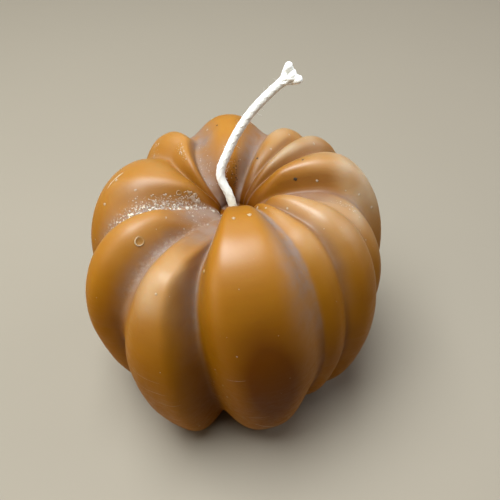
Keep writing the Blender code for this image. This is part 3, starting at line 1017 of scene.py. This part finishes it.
class SurfaceMarks:
    """The small raised marks on the casting, in the casting's own mesh."""

    SMALL_SIDES = 6
    ROUND_SIDES = 12
    STREAK_STEPS = 12
    RAGGED = 0.30
    EVEN = 0.07
    FLECK_STRENGTH = 0.6

    def __init__(self, casting: WaxCasting, skin: np.ndarray,
                 values: dict[str, np.ndarray], first: int) -> None:
        """Get ready to lay marks.

        Args:
            casting: The casting they lie on.
            skin: Its skin by step and row.
            values: Its painted values by step and row.
            first: The number of the marks' first vertex.
        """
        self.casting = casting
        self.skin = skin
        self.out = casting.normals(skin)
        self.along, _ = casting.rows()
        self.values = values
        self.first = first
        self.rng = random.Random(casting.seed)
        self.points: list[np.ndarray] = []
        self.faces: list[tuple[int, ...]] = []
        self.painted: dict[str, list[float]] = {name: [] for name in values}

    def step_and_row(self, place: Place, across: float, along: float) -> tuple[float, float]:
        """Where a place lies in the skin's grid.

        Args:
            place: The rib.
            across: From -1 at the valley before it, over 0 at its crest, to 1.
            along: The place down the outline.

        Returns:
            Its step and row, with their fractions.
        """
        steps = np.flatnonzero(self.casting.rib == place.value)
        return (float(np.interp(across, self.casting.across[steps], steps)),
                float(np.interp(along, self.along, np.arange(len(self.along)))))

    def between(self, grid: np.ndarray, step: float, row: float) -> np.ndarray:
        """A value of the skin between its vertices.

        Args:
            grid: Values by step and row.
            step: The step, with its fraction.
            row: The row, with its fraction.

        Returns:
            The value there.
        """
        i, j = int(step), min(int(row), grid.shape[1] - 2)
        a, b = step - i, row - j
        here, after = grid[i % len(grid)], grid[(i + 1) % len(grid)]
        return ((here[j] * (1 - b) + here[j + 1] * b) * (1 - a)
                + (after[j] * (1 - b) + after[j + 1] * b) * a)

    def add_point(self, point: np.ndarray, step: float, row: float, pale: float,
                  grit: float) -> None:
        """Add one vertex, painted like the wax below it.

        Args:
            point: Where it is.
            step: The step of the wax below it.
            row: The row of the wax below it.
            pale: How pale it is, 0 to 1.
            grit: How dark with dust it is, 0 to 1.
        """
        self.points.append(point)
        for name, grid in self.values.items():
            self.painted[name].append(float(self.between(grid, step, row)))
        self.painted["pale"][-1] = pale
        self.painted["grit"][-1] = grit

    def lay(self, mark: Mark, sides: int, strength: float = 1.0) -> None:
        """Lay one round mark, a little uneven.

        Args:
            mark: The mark.
            sides: How many sides its rings have.
            strength: How pale or dark it is, 0 to 1.
        """
        step, row = self.step_and_row(mark.place, mark.across, mark.along)
        centre, out = (self.between(grid, step, row) for grid in (self.skin, self.out))
        side = np.cross(out, (0.0, 0.0, 1.0))
        side /= max(float(np.linalg.norm(side)), 1e-9)
        other = np.cross(out, side)
        half = mark.size / 2 * MM
        rough = self.RAGGED if mark.kind in (MarkKind.FLECK, MarkKind.GRIT) else self.EVEN
        wobble = [1 + self.rng.uniform(-rough, rough) for _ in range(sides)]
        start = self.first + len(self.points)
        dark = mark.kind is MarkKind.GRIT
        for number, (reach, lift, tint) in enumerate(PROFILES[mark.kind]):
            for k in range(sides if number else 1):
                angle = 2 * math.pi * k / sides
                flat = toward(side, other, angle) * reach * wobble[k]
                whole = 0.55 + 0.45 * math.sin(angle + 1) if mark.kind is MarkKind.RING else 1.0
                shade = tint * strength * whole
                self.add_point(centre + (flat + out * lift * whole) * half, step, row,
                               0.0 if dark else shade, shade if dark else 0.0)
        for number in range(len(PROFILES[mark.kind]) - 1):
            inner = start + 1 + (number - 1) * sides
            outer = start + 1 + number * sides
            for k in range(sides):
                after = (k + 1) % sides
                if number == 0:
                    self.faces.append((start, outer + after, outer + k))
                else:
                    self.faces.append((inner + k, inner + after, outer + after, outer + k))

    def draw(self, streak: Streak) -> None:
        """Lay one streak along the wax.

        Args:
            streak: The streak.
        """
        start = self.step_and_row(streak.place, *streak.start)
        end = self.step_and_row(streak.place, *streak.end)
        count = self.STREAK_STEPS
        first = self.first + len(self.points)
        ahead = self.between(self.skin, *end) - self.between(self.skin, *start)
        for i in range(count + 1):
            share = i / count
            step, row = (a + (b - a) * share for a, b in zip(start, end))
            centre, out = (self.between(grid, step, row) for grid in (self.skin, self.out))
            side = np.cross(out, ahead)
            side /= max(float(np.linalg.norm(side)), 1e-9)
            half = streak.width / 2 * MM * (math.sin(math.pi * (0.04 + 0.92 * share)) ** 0.5
                                            * self.rng.uniform(0.7, 1.2))
            for offset, lift in ((-1.0, -0.2), (0.0, 0.45), (1.0, -0.2)):
                self.add_point(centre + side * half * offset + out * half * lift, step, row,
                               streak.pale * (1.0 if offset == 0 else 0.6), 0.0)
        for i in range(count):
            for k in range(2):
                here = first + i * 3 + k
                self.faces.append((here, here + 1, here + 4, here + 3))

    def strew(self, scatter: Scatter) -> None:
        """Strew one patch of marks, most of them small.

        Args:
            scatter: The patch.
        """
        for _ in range(scatter.count):
            size = scatter.smallest + (scatter.largest - scatter.smallest) \
                * self.rng.random() ** 2.5
            fleck = Mark(scatter.kind, scatter.place, self.rng.uniform(*scatter.across),
                         self.rng.triangular(*scatter.along), size)
            self.lay(fleck, self.SMALL_SIDES, self.rng.uniform(0.35, 1.0))

    def lay_all(self) -> None:
        """Lay every mark, streak and patch, and the stray flecks of each rib."""
        for mark in MARKS:
            if mark.kind is MarkKind.FLECK:
                self.lay(mark, self.SMALL_SIDES, self.FLECK_STRENGTH)
            else:
                self.lay(mark, self.ROUND_SIDES)
        for streak in STREAKS:
            self.draw(streak)
        for scatter in SCATTERS:
            self.strew(scatter)
        for place in Place:
            self.strew(Scatter(place, (-0.9, 0.9), (0.5, 2.7), STRAY_FLECKS, 0.10, 0.36))


# Where the braid's pairs of strands go as its tip spreads, and the wick's middle line in mm.
LOBES = (1.0, -0.45, -1.0, 0.45)
WICK_ROUTE: tuple[Triple, ...] = (
    (-0.3, 1.6, 0.3), (-0.3, 1.6, 24.0), (-0.3, 1.6, 45.2), (-1.1, 2.9, 48.8),
    (-2.9, 4.9, 53.0), (-1.3, 6.7, 57.2), (0.9, 8.3, 61.2), (3.9, 9.6, 65.2),
    (8.0, 10.7, 69.2), (12.1, 11.4, 72.6))


@dataclass
class BraidedWick:
    """The braided cotton wick, with its fuzz and its cut, spread tip."""

    radius: float = 0.95 * MM
    strand: float = 0.42 * MM
    pitch: float = 7.5 * MM
    weave: float = 0.03 * MM
    step: float = 0.28 * MM
    sides: int = 8
    split: float = 3.6 * MM
    parting: float = 1.7 * MM
    notch: float = 0.5 * MM
    fray: float = 1.0
    core: float = 0.94
    wax_level: float = 44.6 * MM
    waxed_length: float = 7.0 * MM
    fibres: int = 150
    long_fibres: float = 0.05
    fibre_radii: tuple[float, ...] = (0.016 * MM, 0.014 * MM, 0.012 * MM, 0.008 * MM)
    spread: Vector = field(default_factory=lambda: Vector((-0.70, 0.54, 0.45)))
    seed: int = 5

    def route(self) -> list[Vector]:
        """Points along the wick's middle line, from its foot in the wax to its tip.

        Returns:
            Closely and evenly spaced points.
        """
        corners = [Vector(corner) * MM for corner in WICK_ROUTE]
        last = len(corners) - 1
        slopes = [(corners[min(i + 1, last)] - corners[max(i - 1, 0)]).normalized()
                  for i in range(last + 1)]
        dense: list[Vector] = []
        for i in range(last):
            reach = (corners[i + 1] - corners[i]).length / 3
            dense += interpolate_bezier(corners[i], corners[i] + slopes[i] * reach,
                                        corners[i + 1] - slopes[i + 1] * reach,
                                        corners[i + 1], 60)[:-1]
        dense.append(corners[-1])
        return self.even(dense, self.step)

    def even(self, points: list[Vector], step: float) -> list[Vector]:
        """Space points evenly along a line.

        Args:
            points: The line's points.
            step: The wanted spacing.

        Returns:
            New points along the same line.
        """
        lengths = np.cumsum([0.0] + [(b - a).length for a, b in zip(points, points[1:])])
        count = max(int(lengths[-1] / step), 2)
        wanted = np.linspace(0, lengths[-1], count + 1)
        columns = [np.interp(wanted, lengths, [point[i] for point in points]) for i in range(3)]
        return [Vector(values) for values in zip(*columns)]

    def frames(self, line: list[Vector]) -> list[tuple[Vector, Vector, Vector]]:
        """Two side directions and the forward direction at each point of a line.

        Args:
            line: The line's points.

        Returns:
            The directions, turning as little as they can from point to point.
        """
        side = Vector((1.0, 0.0, 0.0))
        result = []
        for i in range(len(line)):
            ahead = (line[min(i + 1, len(line) - 1)] - line[max(i - 1, 0)]).normalized()
            side = (side - ahead * side.dot(ahead)).normalized()
            result.append((side, ahead.cross(side), ahead))
        return result

    def tube(self, line: list[Vector], radii: Sequence[float], sides: int,
             points: list[Vector], faces: list[tuple[int, ...]]) -> None:
        """Add a closed tube along a line to a mesh.

        Args:
            line: The tube's middle line.
            radii: Its radius at each point.
            sides: How many sides it has.
            points: The mesh's vertices, added to.
            faces: The mesh's faces, added to.
        """
        start = len(points)
        for (side, other, _), place, radius in zip(self.frames(line), line, radii):
            for k in range(sides):
                points.append(place + toward(side, other, 2 * math.pi * k / sides) * radius)
        for i in range(len(line) - 1):
            for k in range(sides):
                here = start + i * sides
                faces.append((here + k, here + (k + 1) % sides,
                              here + sides + (k + 1) % sides, here + sides + k))
        faces.append(tuple(start + k for k in reversed(range(sides))))
        end = start + (len(line) - 1) * sides
        faces.append(tuple(end + k for k in range(sides)))

    def strand_line(self, line: list[Vector], index: int) -> list[Vector]:
        """The middle line of one of the braid's eight strands.

        Args:
            line: The wick's middle line above the wax.
            index: The strand's number; the even ones turn one way, the odd ones the other.

        Returns:
            The strand's points.
        """
        way = 1 if index % 2 == 0 else -1
        start = 2 * math.pi * (index // 2) / len(LOBES)
        ride = self.radius - self.strand - self.weave
        length = self.step * (len(line) - 1)
        lobe = LOBES[index // 2]
        result = []
        for i, (place, (side, other, ahead)) in enumerate(zip(line, self.frames(line))):
            turn = 2 * math.pi * i * self.step / self.pitch
            out = ride + way * self.weave * math.cos(len(LOBES) * turn)
            offset = toward(side, other, start + way * turn) * out
            left = length - i * self.step
            open_share = max(1 - left / self.split, 0.0)
            apart = self.spread - ahead * self.spread.dot(ahead)
            offset += apart.normalized() * lobe * self.parting * open_share ** 1.4
            result.append(place + offset)
        short = round((1 - abs(lobe)) * self.notch / self.step)
        return result[:len(result) - short]

    def strand_radii(self, count: int) -> list[float]:
        """The radius at each point of a strand, which swells and rounds off at its end.

        Args:
            count: How many points the strand has.

        Returns:
            The radii, from the wax up.
        """
        radii = []
        for i in range(count):
            left = (count - 1 - i) * self.step
            radius = self.strand * (1 + self.fray * max(1 - left / self.split, 0))
            short = max(1 - left / radius, 0)
            radii.append(radius * max(math.sqrt(1 - short ** 2), 0.35))
        return radii

    def build(self, finish: bpy.types.Material) -> bpy.types.Object:
        """Make the wick.

        Args:
            finish: The cotton material.

        Returns:
            The piece that stands for the wick.
        """
        rng = random.Random(self.seed)
        line = self.route()
        above = [place for place in line if place.z > self.wax_level]
        points: list[Vector] = []
        faces: list[tuple[int, ...]] = []
        core = self.even(line, 1.0 * MM)[:-3]
        self.tube(core, [self.radius * self.core] * len(core), 12, points, faces)
        for index in range(2 * len(LOBES)):
            strand = self.strand_line(above, index)
            self.tube(strand, self.strand_radii(len(strand)), self.sides, points, faces)
        self.add_fuzz(above, rng, points, faces)
        piece = piece_from("braided_wick", np.array([tuple(p) for p in points]), faces, finish)
        low = above[0].z
        waxed = [max(0.0, min(1.0, 1 - (point.z - low) / self.waxed_length)) ** 1.2
                 for point in points]
        layer = piece.data.attributes.new("waxed", "FLOAT", "POINT")
        layer.data.foreach_set("value", waxed)
        return piece

    def add_fuzz(self, line: list[Vector], rng: random.Random, points: list[Vector],
                 faces: list[tuple[int, ...]]) -> None:
        """Add the loose fibres that stand off the braid.

        Args:
            line: The wick's middle line above the wax.
            rng: The source of chance.
            points: The mesh's vertices, added to.
            faces: The mesh's faces, added to.
        """
        frames = self.frames(line)
        for _ in range(self.fibres):
            i = rng.randrange(int(len(line) * 0.2), len(line) - 2)
            side, other, ahead = frames[i]
            out = toward(side, other, rng.uniform(0, 2 * math.pi))
            reach = rng.uniform(0.25, 0.8) * (2.6 if rng.random() < self.long_fibres else 1.0) * MM
            start = line[i] + out * self.radius * 0.8
            slant = ahead * rng.uniform(-0.6, 1.2) + out
            bend = Vector((rng.uniform(-1, 1), rng.uniform(-1, 1), rng.uniform(-1, 1)))
            hair = [start + slant * reach * s + bend * reach * 0.4 * s * s
                    for s in (0.0, 0.35, 0.7, 1.0)]
            self.tube(hair, self.fibre_radii, 3, points, faces)


@dataclass(frozen=True)
class Lamp:
    """A square soft light: its name, place and side in metres, power in watts and colour."""

    name: str
    place: Triple
    size: float
    power: float
    colour: Colour


LAMPS: tuple[Lamp, ...] = (
    Lamp("window", (-0.10, 0.00, 0.48), 0.32, 4.9, (0.87, 0.96, 1.0)),
    Lamp("sky", (0.50, 0.12, 0.30), 0.45, 1.3, (0.88, 0.92, 1.0)),
    Lamp("fill", (-0.46, -0.16, 0.12), 0.40, 0.9, (1.0, 0.88, 0.70)),
)


@dataclass
class Studio:
    """The pale table, the soft lights and the camera at the photograph's viewing angle."""

    distance: float = 140.0 * MM
    look_height: float = 25.0 * MM
    elevation: float = 50.2
    yaw: float = 1.3
    nod: float = 2.9
    roll: float = -1.4
    lens: float = 43.2
    table_half: float = 1.2
    aim_height: float = 30.0 * MM
    surroundings: Colour = (1.0, 0.82, 0.58)
    surroundings_strength: float = 0.08

    def floor(self) -> bpy.types.Object:
        """Make the table top.

        Returns:
            The staged floor.
        """
        half = self.table_half
        points = np.array([(-half, -half, 0), (half, -half, 0), (half, half, 0),
                           (-half, half, 0)], dtype=float)
        return piece_from("table_top", points, [(0, 1, 2, 3)], FloorFinish().make())

    def camera(self) -> None:
        """Make the camera and set it as the scene's own."""
        tilt, yaw = math.radians(self.elevation), math.radians(self.yaw)
        nod, roll = math.radians(self.nod), math.radians(self.roll)
        ahead = Vector((0, math.cos(tilt), -math.sin(tilt)))
        right = Vector((1, 0, 0))
        up = right.cross(ahead)
        ahead, right = toward(ahead, right, yaw), toward(right, -ahead, yaw)
        ahead, up = toward(ahead, up, nod), toward(up, -ahead, nod)
        right, up = toward(right, up, roll), toward(up, -right, roll)
        data = bpy.data.cameras.new("camera")
        data.sensor_width = 36.0
        data.lens = self.lens
        data.clip_start = 5 * MM
        data.clip_end = 10.0
        camera = bpy.data.objects.new("camera", data)
        place = Vector((0, -self.distance * math.cos(tilt),
                        self.look_height + self.distance * math.sin(tilt)))
        turn = Matrix((right, up, -ahead)).transposed().to_4x4()
        camera.matrix_world = Matrix.Translation(place) @ turn
        bpy.context.scene.collection.objects.link(camera)
        bpy.context.scene.camera = camera

    def light(self, lamp: Lamp) -> None:
        """Add a light aimed at the candle's middle.

        Args:
            lamp: What it is like.
        """
        data = bpy.data.lights.new(lamp.name, "AREA")
        data.size = lamp.size
        data.energy = lamp.power
        data.color = lamp.colour
        light = bpy.data.objects.new(lamp.name, data)
        light.location = lamp.place
        aim = Vector((0, 0, self.aim_height)) - Vector(lamp.place)
        light.rotation_euler = aim.to_track_quat("-Z", "Y").to_euler()
        bpy.context.scene.collection.objects.link(light)

    def build(self) -> None:
        """Set up the table, the lights, the surroundings and the camera."""
        self.floor()
        self.camera()
        for lamp in LAMPS:
            self.light(lamp)
        world = bpy.data.worlds.new("surroundings")
        world.use_nodes = True
        background = world.node_tree.nodes["Background"]
        background.inputs["Color"].default_value = (*self.surroundings, 1.0)
        background.inputs["Strength"].default_value = self.surroundings_strength
        bpy.context.scene.world = world
        bpy.context.scene.view_settings.view_transform = "Standard"


def corners(box: Iterable[Iterable[float]]) -> list[list[float]]:
    """Turn a box's lowest and highest corners into plain lists of numbers."""
    return [[float(value) for value in corner] for corner in box]


def main() -> None:
    """Build the candle and its studio, and log each piece's vertices and faces."""
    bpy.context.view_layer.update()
    Studio().build()
    casting = WaxCasting().build(BeeswaxFinish().make())
    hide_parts("wax_body")
    wick = BraidedWick().build(CottonFinish().make())
    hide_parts("wick")
    for piece in (casting, wick):
        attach(piece, "root")
        LOG.info("%s: %d vertices, %d faces", piece.name, len(piece.data.vertices),
                 len(piece.data.polygons))


if __name__ == "__main__":
    main()
